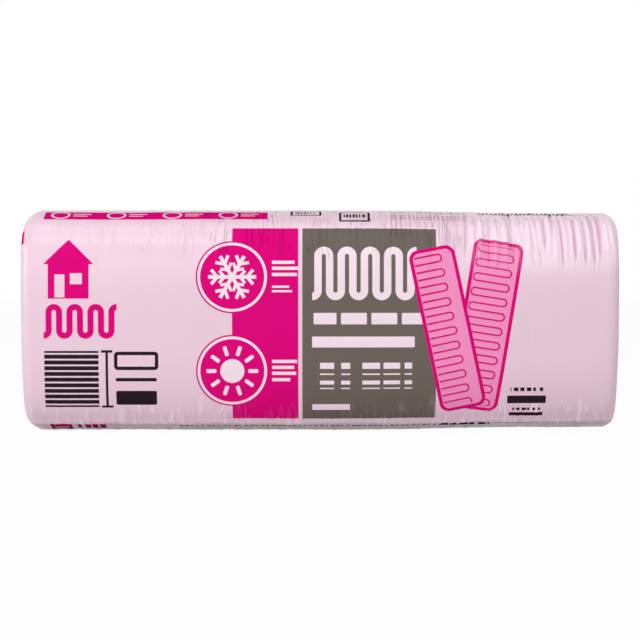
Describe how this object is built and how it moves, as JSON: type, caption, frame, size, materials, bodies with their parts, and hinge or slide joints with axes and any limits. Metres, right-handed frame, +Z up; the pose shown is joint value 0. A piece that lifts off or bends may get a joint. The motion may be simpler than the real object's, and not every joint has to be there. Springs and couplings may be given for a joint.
{
  "type": "glass wool insulation batt pack",
  "caption": "Factory pack of flat glass wool insulation batts, squeezed in a stack and held in a tight pink film bag with heat-sealed ends.",
  "frame": {"origin": "centre of the underside's box, on the floor that the pack lies on", "axes": "+X along the batts' length, -Y out of the printed front, +Z up through the stack"},
  "size_m": [1.2086, 0.3902, 0.4548],
  "materials": {
    "bag_film": "pale pink printed polyethylene film, wrinkled and half glossy",
    "glass_wool": "pink fibrous glass wool, matt"
  },
  "bodies": {
    "root": {"film_bag": "bag_film", "batt_01": "glass_wool", "batt_02": "glass_wool", "batt_03": "glass_wool", "batt_04": "glass_wool", "batt_05": "glass_wool", "batt_06": "glass_wool", "batt_07": "glass_wool", "batt_08": "glass_wool", "batt_09": "glass_wool", "batt_10": "glass_wool"}
  },
  "joints": []
}
